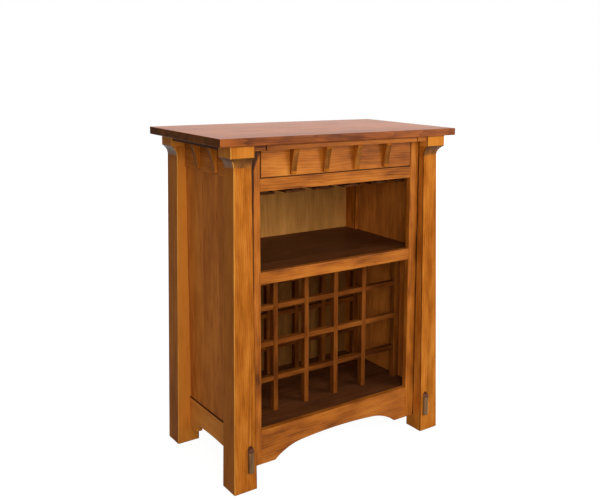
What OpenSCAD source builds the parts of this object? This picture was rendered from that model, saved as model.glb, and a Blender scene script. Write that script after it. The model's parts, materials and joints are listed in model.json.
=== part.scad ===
// Wine cabinet with tapered posts, a bracketed drawer, a stemware rack and a bottle lattice.
// X runs to the right, Y to the back and Z up. The origin is on the floor, under the middle.

/* [Overall] */
// Width over the tabletop
cabinet_w = 876; // [840:2:940]
// Depth over the tabletop
cabinet_d = 495; // [475:1:540]
// Height from the floor to the tabletop
cabinet_h = 1067; // [1045:1:1110]

/* [Tabletop] */
// Thickness of the tabletop
top_t = 24; // [20:1:30]
// How far the tabletop passes the post caps at each side
top_over_side = 38; // [24:1:48]
// How far the tabletop passes the post caps at the front
top_over_front = 12; // [8:1:24]
// How far the tabletop passes the rear posts
top_over_back = 3; // [1:1:10]
// Radius of the eased edges of the tabletop
top_ease = 3; // [1:0.5:6]

/* [Posts] */
// Side of the square foot and cap of a post
post_w = 76; // [70:1:82]
// How much the neck under the cap is cut back on each shaped face
post_taper = 18; // [10:1:22]
// Height of the square cap
cap_h = 36; // [28:1:46]
// Height of the cove under the cap
cove_h = 31; // [24:1:40]

/* [Front frame] */
// How far the front frame lies behind the post caps
frame_setback = 39; // [34:1:44]
// Thickness of the boards of the front frame
frame_t = 19; // [17:1:22]
// Width of a stile
stile_w = 38; // [32:1:46]
// Height of the opening for the drawer
drawer_opening_h = 103; // [101:1:112]
// Height of the rail under the drawer
drawer_rail_h = 38; // [32:1:44]
// Height of the top of the shelf above the floor
shelf_z = 658; // [640:1:675]
// Height of the rail in front of the shelf
shelf_rail_h = 38; // [32:1:46]
// Height of the lower edge of the bottom rails above the floor
rail_z = 50; // [40:1:60]
// Height of the bottom rails
bottom_rail_h = 110; // [100:1:120]

/* [Arches] */
// Length of the straight part at each end of an arch
arch_end = 48; // [40:1:55]
// Rise of the arch in the front rail
arch_rise_front = 47; // [40:1:52]
// Rise of the arch in a side rail
arch_rise_side = 33; // [28:1:38]
// Radius of the curves at the ends of the arch in the front rail
arch_end_r_front = 180; // [150:5:210]
// Share of the rise that the long curve of the front arch takes up
arch_bow_front = 0.4; // [0.34:0.01:0.46]
// Radius of the tight curves at the ends of the arch in a side rail
arch_end_r_side = 35; // [30:1:45]
// Share of the rise that the long curve of a side arch takes up
arch_bow_side = 0.14; // [0.1:0.01:0.25]

/* [Sides and back] */
// How far the side rails lie inside the post caps
side_setback = 44; // [41:1:48]
// Thickness of the side rails
side_rail_t = 22; // [20:1:25]
// How far a side panel lies behind the face of its rails
panel_recess = 4; // [2:1:6]
// Thickness of the tongue around a side panel
tongue_t = 6; // [5:0.5:8]
// Depth of the tongue of a panel in its groove
tongue_d = 8; // [5:1:9]
// Thickness of the back rails
back_rail_t = 19; // [16:1:22]
// Height of the back rails
back_rail_h = 60; // [50:1:75]
// How far the back rails lie inside the rear faces of the rear posts
back_setback = 3.5; // [2:0.5:6]
// Thickness of the back panel
back_panel_t = 6; // [4:0.5:8]

/* [Joinery] */
// Length of the tenons of the side and back rails
tenon_l = 25; // [18:1:28]
// Thickness of the tenons of the side and back rails
tenon_t = 9; // [7:1:11]
// Height of the shoulder above and below a tenon
shoulder = 12; // [11:1:14]
// Length of the tenons of the front rails
front_tenon_l = 20; // [14:1:24]
// Thickness of the tenons of the front rails
front_tenon_t = 7; // [5:1:9]
// Clearance of a glued joint
fit = 0.2; // [0.1:0.05:0.3]

/* [Plugs] */
// Width of the round-topped plug in the foot of a front post
plug_w = 17; // [14:1:22]
// Height of the plug
plug_h = 83; // [74:1:90]
// Height of the foot of the plug above the floor
plug_z = 59; // [54:1:66]
// Depth of the socket of the plug
plug_socket = 12; // [8:1:16]
// How far the plug stands out of the post
plug_proud = 9; // [5:0.5:12]
// Radius of the nose at the top of the plug, in side view
plug_nose_r = 24; // [18:1:30]
// Radius of the bowed face of the plug
plug_bow_r = 24; // [20:1:40]

/* [Strip and corbels] */
// Thickness of the strip under the tabletop
strip_t = 15; // [12:1:18]
// How far the strip lies behind the post caps
strip_setback = 4; // [3:1:8]
// Thickness of a corbel
corbel_t = 19; // [16:1:22]
// Height of a corbel
corbel_h = 79; // [66:1:80]
// How far the head of a corbel stands out
corbel_out = 25; // [20:1:30]
// How far the toe of a corbel stands out
corbel_toe = 8; // [5:1:11]
// Height of the upright face at the head of a corbel
corbel_lip = 6; // [4:1:12]
// Radius of the hollow face of a corbel
corbel_r = 300; // [200:10:400]
// Distance between corbels
corbel_pitch = 117; // [108:1:124]

/* [Shelves] */
// Thickness of the shelf and of the floor board
board_t = 19; // [16:1:22]
// Thickness of the board over the stemware rack
rack_board_t = 12; // [10:1:15]
// Side of the square cleats under the shelf and the floor board
cleat_w = 19; // [15:1:22]

/* [Bottle lattice] */
// Distance between the middle uprights
bar_pitch = 117; // [108:1:124]
// Width of a lattice bar seen from the front
bar_w = 16; // [13:1:19]
// Depth of a lattice bar
bar_d = 22; // [18:1:26]
// Width of the end uprights at the side walls
end_bar_w = 24; // [18:1:28]
// How far the front lattice lies behind the front frame
lattice_setback = 102; // [90:1:115]
// Space between the rear lattice and the back panel
lattice_back_gap = 52; // [40:1:60]

/* [Stemware rack] */
// How far the rack lies behind the front frame
rack_setback = 67; // [50:1:80]
// Width of a slot
slot_w = 38; // [30:1:42]
// Thickness of the flanges that hold the glasses
flange_t = 7; // [6:0.5:9]
// Space above the flanges for the foot of a glass
foot_space = 22; // [18:1:24]
// How far the board over the rack lies above the lower edge of the drawer rail
rack_lift = 2; // [0:0.5:4]
// Width of the web strips
web_w = 28; // [22:1:32]

/* [Drawer] */
// Gap around the drawer face
drawer_gap = 2; // [1.5:0.25:3]
// Thickness of the drawer face
face_t = 19; // [17:1:21]
// Thickness of the sides, front and back of the drawer box
box_t = 13; // [12:0.5:14]
// Height of the drawer box
box_h = 70; // [66:1:72]
// Space between the drawer box and the back rail
box_clear = 35.5; // [30:0.5:50]
// Thickness of the drawer bottom
bottom_t = 6; // [4:0.5:7]
// Depth of the grooves for the drawer bottom
bottom_groove = 5; // [3:0.5:6]
// Height of the drawer bottom above the lower edge of the box
bottom_lift = 8; // [6:0.5:11]
// Width of a dovetail at its root
tail_w = 13; // [11:0.5:15]
// Height of the drawer guides
guide_h = 90; // [84:1:94]

/* [Drawer slides] */
// Height of a slide
slide_h = 45; // [42:1:48]
// Room that a slide takes between the guide and the drawer
slide_gap = 12.7; // [12.5:0.1:13.2]
// How much shorter than the drawer box a slide is
slide_short = 14; // [6:1:30]
// Sheet thickness of the slide members
slide_t = 1.2; // [1:0.1:1.4]
// Running gap between the slide members
slide_run = 0.3; // [0.2:0.05:0.4]

/* [Screws] */
// Radius of a screw shank
screw_r = 2; // [1.5:0.1:2.2]
// Radius of a screw head
head_r = 4; // [3.5:0.1:4.5]
// Height of a screw head
head_h = 1.8; // [1.5:0.1:2]
// Clearance around a screw
screw_fit = 0.1; // [0.05:0.05:0.15]
// How far a screw goes into the last board
screw_bite = 9; // [7:0.5:9.5]
// Side of the blocks that hold the tabletop
block_w = 22; // [18:1:22]
// Length of the blocks that hold the tabletop
block_l = 60; // [50:1:80]

/* [Hidden] */
$fn = 64;

// Overlap that keeps a cut from ending flush with a face
cut = 1;

// Levels
under_top_z = cabinet_h - top_t;
cap_z = under_top_z - cap_h;
cove_z = cap_z - cove_h;
drawer_rail_top = under_top_z - drawer_opening_h;
drawer_rail_z = drawer_rail_top - drawer_rail_h;
shelf_rail_z = shelf_z - shelf_rail_h;
floor_z = rail_z + bottom_rail_h;
strip_z = under_top_z - strip_t - drawer_gap;

// Places across the cabinet, on its right half
post_out = cabinet_w / 2 - top_over_side;
post_in = post_out - post_w;
opening = post_in - stile_w;
side_out = post_out - side_setback;
wall = side_out - side_rail_t;
panel_out = side_out - panel_recess;
tongue_x = [(wall + panel_out - tongue_t) / 2, (wall + panel_out + tongue_t) / 2];
side_tenon_x = [(wall + side_out - tenon_t) / 2, (wall + side_out + tenon_t) / 2];

// Places from front to back
front_y = -cabinet_d / 2 + top_over_front;
rear_y = cabinet_d / 2 - top_over_back;
bay_y = [front_y + post_w, rear_y - post_w];
side_mid_y = (bay_y[0] + bay_y[1]) / 2;
frame_y = [front_y + frame_setback, front_y + frame_setback + frame_t];
back_rail_y = [rear_y - back_setback - back_rail_t, rear_y - back_setback];
back_mid_y = (back_rail_y[0] + back_rail_y[1]) / 2;
back_panel_y = [back_mid_y - back_panel_t / 2, back_mid_y + back_panel_t / 2];
strip_y = front_y + strip_setback;
inside_y = [frame_y[1], back_panel_y[0]];

// How far the end curves of an arch cross its long curve
arch_lap = 0.05;
// Middle of the right-hand plug, and the face of the post at its foot
plug_x = (side_tenon_x[0] + side_tenon_x[1]) / 2;
plug_y = front_y + post_taper * plug_z / cove_z;

// Bottle lattice
rows = 4;
uprights_mid = 4;
row_pitch = (shelf_rail_z - floor_z + bar_w) / rows;
front_lattice_y = frame_y[0] + lattice_setback;
rear_lattice_y = back_panel_y[0] - lattice_back_gap - bar_d;

// Stemware rack
slots = 6;
slot_pitch = 2 * wall / slots;
rack_board_z = drawer_rail_z + rack_lift;
flange_z = rack_board_z - foot_space - flange_t;
rack_y = [frame_y[1] + rack_setback, back_panel_y[0]];

// Drawer
guide_z = rack_board_z + rack_board_t;
box_out = opening - slide_gap;
box_y = [frame_y[1], back_rail_y[0] - box_clear];
box_z = (drawer_rail_top + strip_z - box_h) / 2;
face_x = opening - drawer_gap;
face_z = drawer_rail_top + drawer_gap;
bottom_z = box_z + bottom_lift;
slide_y = frame_y[1] + drawer_gap;
slide_l = box_y[1] - box_y[0] - slide_short;
slide_z = box_z + box_h / 2;
tails = 3;
tail_pitch = box_h / tails;
tail_flare = box_t / 7;
screw_places = [0.1, 0.5, 0.9];

amber = [0.76, 0.42, 0.14];
brown = [0.45, 0.22, 0.09];
umber = [0.36, 0.2, 0.1];
maple = [0.86, 0.71, 0.48];
steel = [0.72, 0.73, 0.75];

// A box between two places on each axis
module span(x, y, z) {
  translate([x[0], y[0], z[0]]) cube([x[1] - x[0], y[1] - y[0], z[1] - z[0]]);
}

// Draws a piece of the right side, or its mirror image on the left
module on_side(side) {
  if (side > 0) children();
  else mirror([1, 0, 0]) children();
}

// Stands a profile drawn as (y, z) upright and gives it a width along X
module extrude_x(x) {
  translate([x[0], 0, 0]) rotate([90, 0, 90]) linear_extrude(x[1] - x[0]) children();
}

// Stands a profile drawn as (x, z) upright and gives it a depth along Y
module extrude_y(y) {
  translate([0, y[1], 0]) rotate([90, 0, 0]) linear_extrude(y[1] - y[0]) children();
}

// Half of a post seen from one side: straight inside, tapered, coved and capped outside
module post_profile() {
  neck = post_w - post_taper;
  cove_r = (post_taper * post_taper + cove_h * cove_h) / (2 * post_taper);
  difference() {
    polygon([[0, 0], [post_w, 0], [neck, cove_z], [post_w, cove_z], [post_w, under_top_z],
             [0, under_top_z]]);
    intersection() {
      translate([neck + cove_r, cove_z]) circle(cove_r, $fn = 180);
      translate([0, cove_z]) square([post_w + cut, cove_h]);
    }
  }
}

// Front view of a plug: round at the top, with the middle of its foot at the origin
module plug_front(grow) {
  r = plug_w / 2 + grow;
  translate([-r, -grow]) square([2 * r, plug_h - plug_w / 2 + grow]);
  translate([0, plug_h - plug_w / 2]) circle(r);
}

// Side view of a plug: its foot on the Y axis, the face of the post at y = 0, and the nose at the top
module plug_side() {
  difference() {
    translate([-plug_proud, 0]) square([plug_proud + plug_socket, plug_h]);
    translate([-plug_proud - cut, plug_h - plug_nose_r]) square(plug_nose_r + cut);
  }
  intersection() {
    translate([plug_nose_r - plug_proud, plug_h - plug_nose_r]) circle(plug_nose_r, $fn = 120);
    translate([-plug_proud, plug_h - plug_nose_r]) square([plug_proud + plug_socket, plug_nose_r]);
  }
}

// A right-hand post before its joints are cut
module post_blank(y, front) {
  intersection() {
    extrude_y(y) translate([post_in, 0]) post_profile();
    if (front)
      extrude_x([post_in - cut, post_out + cut])
        translate([y[1], 0]) mirror([1, 0]) post_profile();
    else span([post_in - cut, post_out + cut], y, [0, under_top_z]);
  }
}

// Tenons of the side rail and the side apron, grown by a clearance for their mortises
module side_tenons(grow = 0) {
  y = [bay_y[0] - tenon_l - grow, bay_y[1] + tenon_l + grow];
  x = [side_tenon_x[0] - grow, side_tenon_x[1] + grow];
  span(x, y, [rail_z + shoulder - grow, floor_z - shoulder + grow]);
  span(x, y, [drawer_rail_top + shoulder - grow, strip_z - shoulder + grow]);
}

// The tongue around a side panel, grown by a clearance for its groove
module panel_tongue(grow = 0) {
  span([tongue_x[0] - grow, tongue_x[1] + grow],
       [bay_y[0] - tongue_d - grow, bay_y[1] + tongue_d + grow],
       [floor_z - tongue_d - grow, drawer_rail_top + tongue_d + grow]);
}

// The edges of the back panel that sit in the posts and the back rails
module back_sheet(grow = 0) {
  x = post_in + tongue_d + grow;
  span([-x, x], [back_panel_y[0] - grow, back_panel_y[1] + grow],
       [rail_z + back_rail_h - tongue_d - grow, under_top_z - back_rail_h + tongue_d + grow]);
}

// Tenons of the two back rails
module back_tenons(grow = 0) {
  x = post_in + tenon_l + grow;
  y = [back_mid_y - tenon_t / 2 - grow, back_mid_y + tenon_t / 2 + grow];
  for (z = [rail_z, under_top_z - back_rail_h])
    span([-x, x], y, [z + shoulder - grow, z + back_rail_h - shoulder + grow]);
}

// The socket of the plug in a right-hand post
module plug_hole() {
  extrude_y([plug_y - plug_proud - cut, plug_y + plug_socket + fit])
    translate([plug_x, plug_z]) plug_front(fit);
}

// The plug of a right-hand post: a nose that rises out of the post, over a face bowed across its width
module plug_body() {
  intersection() {
    extrude_y([plug_y - plug_proud, plug_y + plug_socket])
      translate([plug_x, plug_z]) plug_front(0);
    extrude_x([plug_x - plug_w, plug_x + plug_w])
      translate([plug_y, plug_z]) plug_side();
    translate([plug_x, plug_y - plug_proud + plug_bow_r, plug_z])
      cylinder(r = plug_bow_r, h = plug_h, $fn = 120);
  }
}

module post_front(side) {
  color(amber) on_side(side) difference() {
    post_blank([front_y, bay_y[0]], true);
    side_tenons(fit);
    panel_tongue(fit);
    plug_hole();
  }
}

module post_rear(side) {
  color(amber) on_side(side) difference() {
    post_blank([bay_y[1], rear_y], false);
    side_tenons(fit);
    panel_tongue(fit);
    back_tenons(fit);
    back_sheet(fit);
  }
}

module post_plugs() {
  color(umber) for (side = [-1, 1]) on_side(side) plug_body();
}

// Tenons of the front rails, grown by a clearance for their mortises in the stiles
module front_tenons(z, h, grow = 0) {
  mid_y = (frame_y[0] + frame_y[1]) / 2;
  x = opening + front_tenon_l + grow;
  span([-x, x], [mid_y - front_tenon_t / 2 - grow, mid_y + front_tenon_t / 2 + grow],
       [z + shoulder - grow, z + h - shoulder + grow]);
}

module stile(side) {
  color(amber) on_side(side) difference() {
    span([opening, post_in], frame_y, [rail_z, strip_z]);
    front_tenons(rail_z, bottom_rail_h, fit);
    front_tenons(shelf_rail_z, shelf_rail_h, fit);
    front_tenons(drawer_rail_z, drawer_rail_h, fit);
  }
}

module front_rail(z, h) {
  color(amber) {
    span([-opening, opening], frame_y, [z, z + h]);
    front_tenons(z, h);
  }
}

// Distance between the middles of the long curve and an end curve of an arch, which cross by arch_lap
function arch_reach(long_r, end_r) = long_r - end_r + arch_lap;

// Middle of the end curve of an arch, so that it starts at the foot and runs into the long curve
function arch_end_centre(half, long_r, end_r, low) =
  let (d = norm([half, low]), reach = arch_reach(long_r, end_r),
       along = (reach * reach - end_r * end_r + d * d) / (2 * d),
       off = sqrt(reach * reach - along * along))
  [along * half / d + off * low / d, low - along * low / d + off * half / d];

// The opening under an arched rail, with its foot on the X axis and its middle at the origin
module arch(half, rise, end_r, bow) {
  long_r = half * half / (2 * bow * rise);
  low = rise - long_r;
  centre = arch_end_centre(half, long_r, end_r, low);
  meet = centre[0] * long_r / arch_reach(long_r, end_r);
  intersection() {
    translate([0, low]) circle(long_r, $fn = 720);
    union() {
      translate([-meet, -cut]) square([2 * meet, rise + 2 * cut]);
      for (end = [-1, 1]) translate([end * centre[0], centre[1]]) circle(end_r, $fn = 180);
    }
  }
}

module bottom_rail() {
  color(amber) difference() {
    front_rail(rail_z, bottom_rail_h);
    extrude_y([frame_y[0] - cut, frame_y[1] + cut]) translate([0, rail_z])
      arch(opening - arch_end, arch_rise_front, arch_end_r_front, arch_bow_front);
  }
}

module side_rail(side) {
  half = (bay_y[1] - bay_y[0]) / 2 - arch_end;
  color(brown) on_side(side) difference() {
    union() {
      span([wall, side_out], bay_y, [rail_z, floor_z]);
      intersection() {
        side_tenons();
        span([wall, side_out], [front_y, rear_y], [rail_z, floor_z]);
      }
    }
    panel_tongue(fit);
    extrude_x([wall - cut, side_out + cut]) translate([side_mid_y, rail_z])
      arch(half, arch_rise_side, arch_end_r_side, arch_bow_side);
  }
}

module side_apron(side) {
  color(brown) on_side(side) difference() {
    union() {
      span([wall, side_out], bay_y, [drawer_rail_top, strip_z]);
      intersection() {
        side_tenons();
        span([wall, side_out], [front_y, rear_y], [drawer_rail_top, strip_z]);
      }
    }
    panel_tongue(fit);
  }
}

module side_panel(side) {
  color(brown) on_side(side) {
    span([wall, panel_out], bay_y, [floor_z, drawer_rail_top]);
    panel_tongue();
  }
}

// The strip over a side apron, between the post caps
module side_strip(side) {
  color(brown) on_side(side)
    span([wall, post_out - strip_setback], bay_y, [strip_z, under_top_z]);
}

// The short length of strip on top of a stile
module stile_block(side) {
  color(amber) on_side(side)
    span([opening, post_in], [strip_y, frame_y[1]], [strip_z, under_top_z]);
}

// Side view of a corbel: its back on the Y axis, its head at the top
module corbel_profile() {
  foot = [corbel_toe, 0];
  head = [corbel_out, corbel_h - corbel_lip];
  chord = norm(head - foot);
  middle = (head + foot) / 2;
  back_off = sqrt(corbel_r * corbel_r - chord * chord / 4);
  away = [head[1] - foot[1], foot[0] - head[0]] / chord;
  difference() {
    polygon([[0, 0], foot, head, [corbel_out, corbel_h], [0, corbel_h]]);
    translate(middle + away * back_off) circle(corbel_r, $fn = 240);
  }
}

// A corbel under the strip, on a face that looks along -Y, with its back at y = 0
module corbel() {
  translate([-corbel_t / 2, 0, strip_z - corbel_h]) rotate([90, 0, 90]) mirror([1, 0, 0])
    linear_extrude(corbel_t) corbel_profile();
}

module side_corbels(side) {
  color(brown) on_side(side) for (end = [-0.5, 0.5])
    translate([side_out, side_mid_y + end * corbel_pitch, 0]) rotate([0, 0, 90]) corbel();
}

module drawer_corbels() {
  color(amber) for (k = [-1.5 : 1.5])
    translate([k * corbel_pitch, frame_y[0], 0]) corbel();
}

module top() {
  x = cabinet_w / 2;
  y = cabinet_d / 2;
  color(umber) difference() {
    intersection() {
      extrude_y([-y, y]) eased_edge(x);
      extrude_x([-x, x]) eased_edge(y);
    }
    top_block_places() top_screw(screw_fit);
  }
}

// End view of the tabletop with its eased edges, to a given half width
module eased_edge(half) {
  translate([-half, under_top_z + top_ease]) square([2 * half, top_t - 2 * top_ease]);
  translate([-half + top_ease, under_top_z]) square([2 * (half - top_ease), top_t]);
  for (end = [-1, 1], z = [under_top_z + top_ease, cabinet_h - top_ease])
    translate([end * (half - top_ease), z]) circle(top_ease);
}

// Plan of the inside, from wall to wall and notched around the posts
module inside_plan() {
  translate([-post_in, inside_y[0]]) square([2 * post_in, inside_y[1] - inside_y[0]]);
  translate([-wall, bay_y[0] + fit]) square([2 * wall, bay_y[1] - bay_y[0] - 2 * fit]);
}

module inside_board(z, t) {
  translate([0, 0, z]) linear_extrude(t) inside_plan();
}

module floor_board() {
  color(umber) inside_board(floor_z - board_t, board_t);
}

module shelf() {
  color(umber) inside_board(shelf_z - board_t, board_t);
}

module rack_board() {
  color(umber) difference() {
    inside_board(rack_board_z, rack_board_t);
    rack_screw_set(screw_fit);
  }
}

module floor_cleats() {
  color(brown) for (side = [-1, 1]) on_side(side)
    span([wall - cleat_w, wall], bay_y, [floor_z - board_t - cleat_w, floor_z - board_t]);
}

module shelf_cleats() {
  color(brown) for (side = [-1, 1]) on_side(side)
    span([wall - cleat_w, wall], [front_lattice_y + bar_d, rear_lattice_y],
         [shelf_z - board_t - cleat_w, shelf_z - board_t]);
}

module back_rail(z) {
  color(brown) difference() {
    union() {
      span([-post_in, post_in], back_rail_y, [z, z + back_rail_h]);
      intersection() {
        back_tenons();
        span([-post_out, post_out], back_rail_y, [z, z + back_rail_h]);
      }
    }
    back_sheet(fit);
  }
}

module back_panel() {
  color(brown) back_sheet();
}

// Middle of an upright of the lattice
function upright_x(k) = (k - (uprights_mid - 1) / 2) * bar_pitch;

// Top of a bar of the lattice
function bar_z(k) = floor_z + k * row_pitch;

// The part of a lattice bar at the side walls that the rear posts take up
module rear_post_corners() {
  for (side = [-1, 1]) on_side(side)
    span([post_in - fit, wall + cut], [bay_y[1] - fit, rear_y], [floor_z - cut, shelf_z]);
}

module lattice_uprights(y) {
  color(amber) difference() {
    union() {
      for (k = [0 : uprights_mid - 1])
        span([upright_x(k) - bar_w / 2, upright_x(k) + bar_w / 2], [y, y + bar_d],
             [floor_z, shelf_z - board_t]);
      for (side = [-1, 1]) on_side(side)
        span([wall - end_bar_w, wall], [y, y + bar_d], [floor_z, shelf_z - board_t]);
    }
    for (k = [1 : rows - 1])
      span([-wall - cut, wall + cut], [y + bar_d / 2, y + bar_d + cut],
           [bar_z(k) - bar_w - fit, bar_z(k) + fit]);
    rear_post_corners();
  }
}

module lattice_bars(y) {
  color(amber) difference() {
    for (k = [1 : rows - 1])
      span([-wall, wall], [y, y + bar_d], [bar_z(k) - bar_w, bar_z(k)]);
    for (k = [0 : uprights_mid - 1])
      span([upright_x(k) - bar_w / 2 - fit, upright_x(k) + bar_w / 2 + fit],
           [y - cut, y + bar_d / 2], [floor_z, shelf_z]);
    for (side = [-1, 1]) on_side(side)
      span([wall - end_bar_w - fit, wall + cut], [y - cut, y + bar_d / 2], [floor_z, shelf_z]);
    rear_post_corners();
  }
}

// A pan-head screw that points up, with its head under the origin, or the hole for it
module screw(reach, grow = 0) {
  translate([0, 0, -cut]) cylinder(r = screw_r + grow, h = reach + grow + cut);
  if (grow == 0) translate([0, 0, -head_h]) difference() {
    cylinder(r1 = head_r - head_h / 3, r2 = head_r, h = head_h);
    for (turn = [0, 90]) rotate([0, 0, turn])
      translate([-head_r / 2, -head_h / 4, -cut])
        cube([head_r, head_h / 2, cut + head_h / 2]);
  }
}

// Sides of a web strip: between two slots, or against a side wall
function web_x(k) =
  abs(k) < slots / 2 ? [k * slot_pitch - web_w / 2, k * slot_pitch + web_w / 2]
  : k > 0 ? [wall - web_w, wall] : [-wall, -wall + web_w];

// Middle of the screws in a web strip, which pass beside the rear posts
function web_screw_x(k) =
  abs(k) < slots / 2 ? k * slot_pitch : sign(k) * (wall - web_w + post_in) / 2;

// Sides of a flange, which reaches from slot to slot or from a slot to the wall
function flange_x(k) =
  [k == -slots / 2 ? -wall : (k - 0.5) * slot_pitch + slot_w / 2,
   k == slots / 2 ? wall : (k + 0.5) * slot_pitch - slot_w / 2];

module stem_flanges() {
  color(umber) difference() {
    intersection() {
      inside_board(flange_z, flange_t);
      for (k = [-slots / 2 : slots / 2])
        span(flange_x(k), rack_y, [flange_z, flange_z + flange_t]);
    }
    rack_screw_set(screw_fit);
  }
}

module stem_webs() {
  color(umber) difference() {
    intersection() {
      inside_board(flange_z + flange_t, foot_space);
      for (k = [-slots / 2 : slots / 2])
        span(web_x(k), rack_y, [flange_z + flange_t, rack_board_z]);
    }
    rack_screw_set(screw_fit);
  }
}

// Screws up through the rack: into the board over it, and at the sides into the drawer guides
module rack_screw_set(grow = 0) {
  for (k = [-slots / 2 : slots / 2], place = screw_places) {
    y = rack_y[0] + place * (rack_y[1] - rack_y[0]);
    through = flange_t + foot_space + (abs(k) == slots / 2 ? rack_board_t : 0);
    translate([web_screw_x(k), y, flange_z]) screw(through + screw_bite, grow);
  }
}

module rack_screws() {
  color(steel) rack_screw_set();
}

// Screws through the outer slide members into the guides, on the right side
module guide_screw_set(grow = 0) {
  for (place = screw_places)
    translate([opening - slide_t, slide_y + place * slide_l, slide_z])
      rotate([0, 90, 0]) screw(slide_t + screw_bite, grow);
}

// The board behind a stile that carries a slide
module drawer_guide(side) {
  color(brown) on_side(side) difference() {
    span([opening, post_in], [frame_y[1], back_rail_y[0]], [guide_z, guide_z + guide_h]);
    guide_screw_set(screw_fit);
    rack_screw_set(screw_fit);
  }
}

// Places the blocks under the tabletop: against the side walls and the back rail
module top_block_places() {
  z = under_top_z - block_w;
  for (end = [-1, 1]) {
    translate([-wall, side_mid_y + end * corbel_pitch, z]) children();
    translate([wall, side_mid_y + end * corbel_pitch, z]) rotate([0, 0, 180]) children();
    translate([end * opening / 2, back_rail_y[0], z]) rotate([0, 0, -90]) children();
  }
}

module top_screw(grow = 0) {
  translate([block_w / 2, 0, 0]) screw(block_w + screw_bite, grow);
}

module top_blocks() {
  color(brown) difference() {
    top_block_places() translate([0, -block_l / 2, 0]) cube([block_w, block_l, block_w]);
    top_block_places() top_screw(screw_fit);
  }
}

module top_screws() {
  color(steel) top_block_places() top_screw();
}

// End view of a channel: its web at s, its flanges reaching to an edge
module channel(web, edge, h) {
  low = min(web, edge);
  difference() {
    translate([low, -h / 2]) square([abs(edge - web), h]);
    translate([web < edge ? web + slide_t : edge - cut, -h / 2 + slide_t])
      square([abs(edge - web) - slide_t + cut, h - 2 * slide_t]);
  }
}

// A slide member on the right side, drawn outward from the face of the guide
module slide_member(web, edge, nest) {
  color(steel) translate([opening, 0, slide_z]) mirror([1, 0, 0])
    extrude_y([slide_y, slide_y + slide_l])
      channel(web, edge, slide_h - 2 * nest * (slide_t + slide_run));
}

module slide_outer(side) {
  on_side(side) difference() {
    slide_member(0, slide_gap - slide_t - slide_run, 0);
    guide_screw_set(screw_fit);
  }
}

module slide_middle(side) {
  on_side(side) slide_member(slide_gap / 3, slide_gap - slide_t, 1);
}

module slide_inner(side) {
  on_side(side) difference() {
    slide_member(slide_gap, slide_gap / 2, 2);
    inner_screw_set(screw_fit);
  }
}

module guide_screws() {
  color(steel) for (side = [-1, 1]) on_side(side) guide_screw_set();
}

// Screws through the inner slide members into the drawer sides, on the right side
module inner_screw_set(grow = 0) {
  for (place = screw_places)
    translate([box_out + slide_t, slide_y + place * slide_l, slide_z])
      rotate([0, -90, 0]) screw(slide_t + screw_bite, grow);
}

// Screws through the front of the drawer box into the drawer face
module face_screw_set(grow = 0) {
  for (x = [-1, 1], z = [-1, 1])
    translate([x * 2 * box_out / 3, frame_y[1] + box_t, slide_z + z * box_h / 5])
      rotate([90, 0, 0]) screw(box_t + screw_bite, grow);
}

module drawer_screws() {
  color(steel) {
    for (side = [-1, 1]) on_side(side) inner_screw_set();
    face_screw_set();
  }
}

module drawer_face() {
  color(amber) difference() {
    span([-face_x, face_x], frame_y, [face_z, strip_z]);
    face_screw_set(screw_fit);
  }
}

module drawer_strip() {
  color(amber) span([-face_x, face_x], [strip_y, frame_y[1]], [strip_z, strip_z + strip_t]);
}

// Tails at one end of a drawer side, in side view, with the end of the board at y = 0
module tail_profile(grow = 0) {
  root = tail_w / 2 + grow;
  end = root + tail_flare;
  for (k = [0.5 : tails]) translate([0, k * tail_pitch])
    polygon([[-grow, -end], [box_t, -root], [box_t + cut, -root],
             [box_t + cut, root], [box_t, root], [-grow, end]]);
}

// Tails at both ends of both drawer sides
module tail_set(grow = 0) {
  for (side = [-1, 1]) on_side(side) extrude_x([box_out - box_t - grow, box_out + grow]) {
    translate([box_y[0], box_z]) tail_profile(grow);
    translate([box_y[1], box_z]) mirror([1, 0]) tail_profile(grow);
  }
}

module drawer_side(side) {
  color(maple) on_side(side) difference() {
    union() {
      span([box_out - box_t, box_out], [box_y[0] + box_t, box_y[1] - box_t],
           [box_z, box_z + box_h]);
      extrude_x([box_out - box_t, box_out]) {
        translate([box_y[0], box_z]) tail_profile();
        translate([box_y[1], box_z]) mirror([1, 0]) tail_profile();
      }
    }
    bottom_sheet(fit);
    inner_screw_set(screw_fit);
  }
}

module drawer_end(y) {
  color(maple) difference() {
    span([-box_out, box_out], [y, y + box_t], [box_z, box_z + box_h]);
    tail_set(fit);
    bottom_sheet(fit);
    face_screw_set(screw_fit);
  }
}

// The drawer bottom, or the grooves for it
module bottom_sheet(grow = 0) {
  inset = box_t - bottom_groove - grow;
  span([-box_out + inset, box_out - inset], [box_y[0] + inset, box_y[1] - inset],
       [bottom_z - grow, bottom_z + bottom_t + grow]);
}

module drawer_bottom() {
  color(maple) bottom_sheet();
}

top();
post_front(-1);  // post_front_left
post_front(1);  // post_front_right
post_rear(-1);  // post_rear_left
post_rear(1);  // post_rear_right
stile(-1);  // stile_left
stile(1);  // stile_right
front_rail(drawer_rail_z, drawer_rail_h);  // drawer_rail
front_rail(shelf_rail_z, shelf_rail_h);  // shelf_rail
bottom_rail();
stile_block(-1);  // stile_block_left
stile_block(1);  // stile_block_right
side_rail(-1);  // side_rail_left
side_rail(1);  // side_rail_right
side_apron(-1);  // side_apron_left
side_apron(1);  // side_apron_right
side_strip(-1);  // side_strip_left
side_strip(1);  // side_strip_right
side_panel(-1);  // side_panel_left
side_panel(1);  // side_panel_right
side_corbels(-1);  // side_corbels_left
side_corbels(1);  // side_corbels_right
post_plugs();
back_rail(under_top_z - back_rail_h);  // back_rail_top
back_rail(rail_z);  // back_rail_bottom
back_panel();
floor_board();
shelf();
rack_board();
floor_cleats();
shelf_cleats();
stem_flanges();
stem_webs();
rack_screws();
drawer_guide(-1);  // drawer_guide_left
drawer_guide(1);  // drawer_guide_right
lattice_uprights(front_lattice_y);  // front_lattice_uprights
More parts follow.
